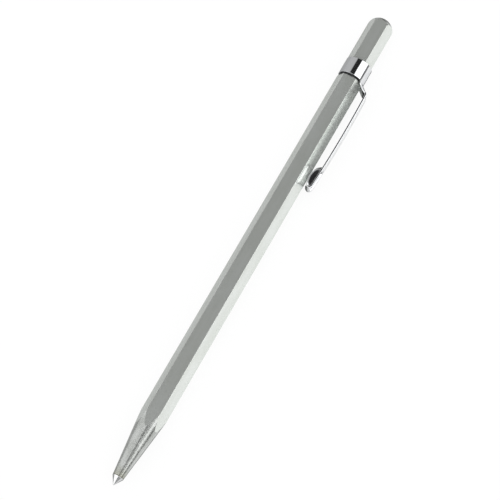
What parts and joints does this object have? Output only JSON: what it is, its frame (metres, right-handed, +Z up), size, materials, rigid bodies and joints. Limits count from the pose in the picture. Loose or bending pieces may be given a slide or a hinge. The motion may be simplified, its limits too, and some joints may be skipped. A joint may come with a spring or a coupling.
{
  "type": "scriber",
  "caption": "Pen-type scriber with a hexagonal steel body, turned nose, carbide point, screwed domed end cap and a plated pocket clip that swivels and flexes.",
  "frame": {"origin": "middle of the bottom flat of the hexagonal barrel, at half the scriber's length", "axes": "+X from the point to the end cap, +Z up off the bottom flat, the clip's arm over the corner that faces -Y"},
  "size_m": [0.15, 0.0102, 0.0077],
  "materials": {
    "satin_steel": "satin plated steel with fine lengthwise drawing lines",
    "carbide": "ground cemented carbide",
    "braze": "dull brass-coloured filler",
    "black_fibre": "matt black",
    "bright_plate": "bright plated spring sheet"
  },
  "bodies": {
    "barrel": {"barrel": "satin_steel", "carbide_point": "carbide", "braze_ring": "braze"},
    "washer": {"washer": "black_fibre"},
    "end_cap": {"end_cap": "satin_steel"},
    "clip_collar": {"clip_collar": "bright_plate"},
    "clip_arm": {"clip_arm": "bright_plate"}
  },
  "joints": [
    {"name": "cap_travel", "type": "slide", "parent": "barrel", "child": "washer", "axis": [1, 0, 0], "range_m": [0, 0.0056]},
    {"name": "cap_turn", "type": "hinge", "parent": "washer", "child": "end_cap", "pos_m": [0.06, 0, 0.00317], "axis": [1, 0, 0], "range_deg": [0, 2881]},
    {"name": "clip_swivel", "type": "hinge", "parent": "washer", "child": "clip_collar", "pos_m": [0.057, 0, 0.00317], "axis": [1, 0, 0], "continuous": true},
    {"name": "clip_flex", "type": "hinge", "parent": "clip_collar", "child": "clip_arm", "pos_m": [0.05446, -0.0038, 0.00317], "axis": [0, 0, 1], "range_deg": [0, 5]}
  ],
  "couplings": [
    {"joint": "cap_turn", "follows": "cap_travel", "rad_per_m": 8976}
  ]
}
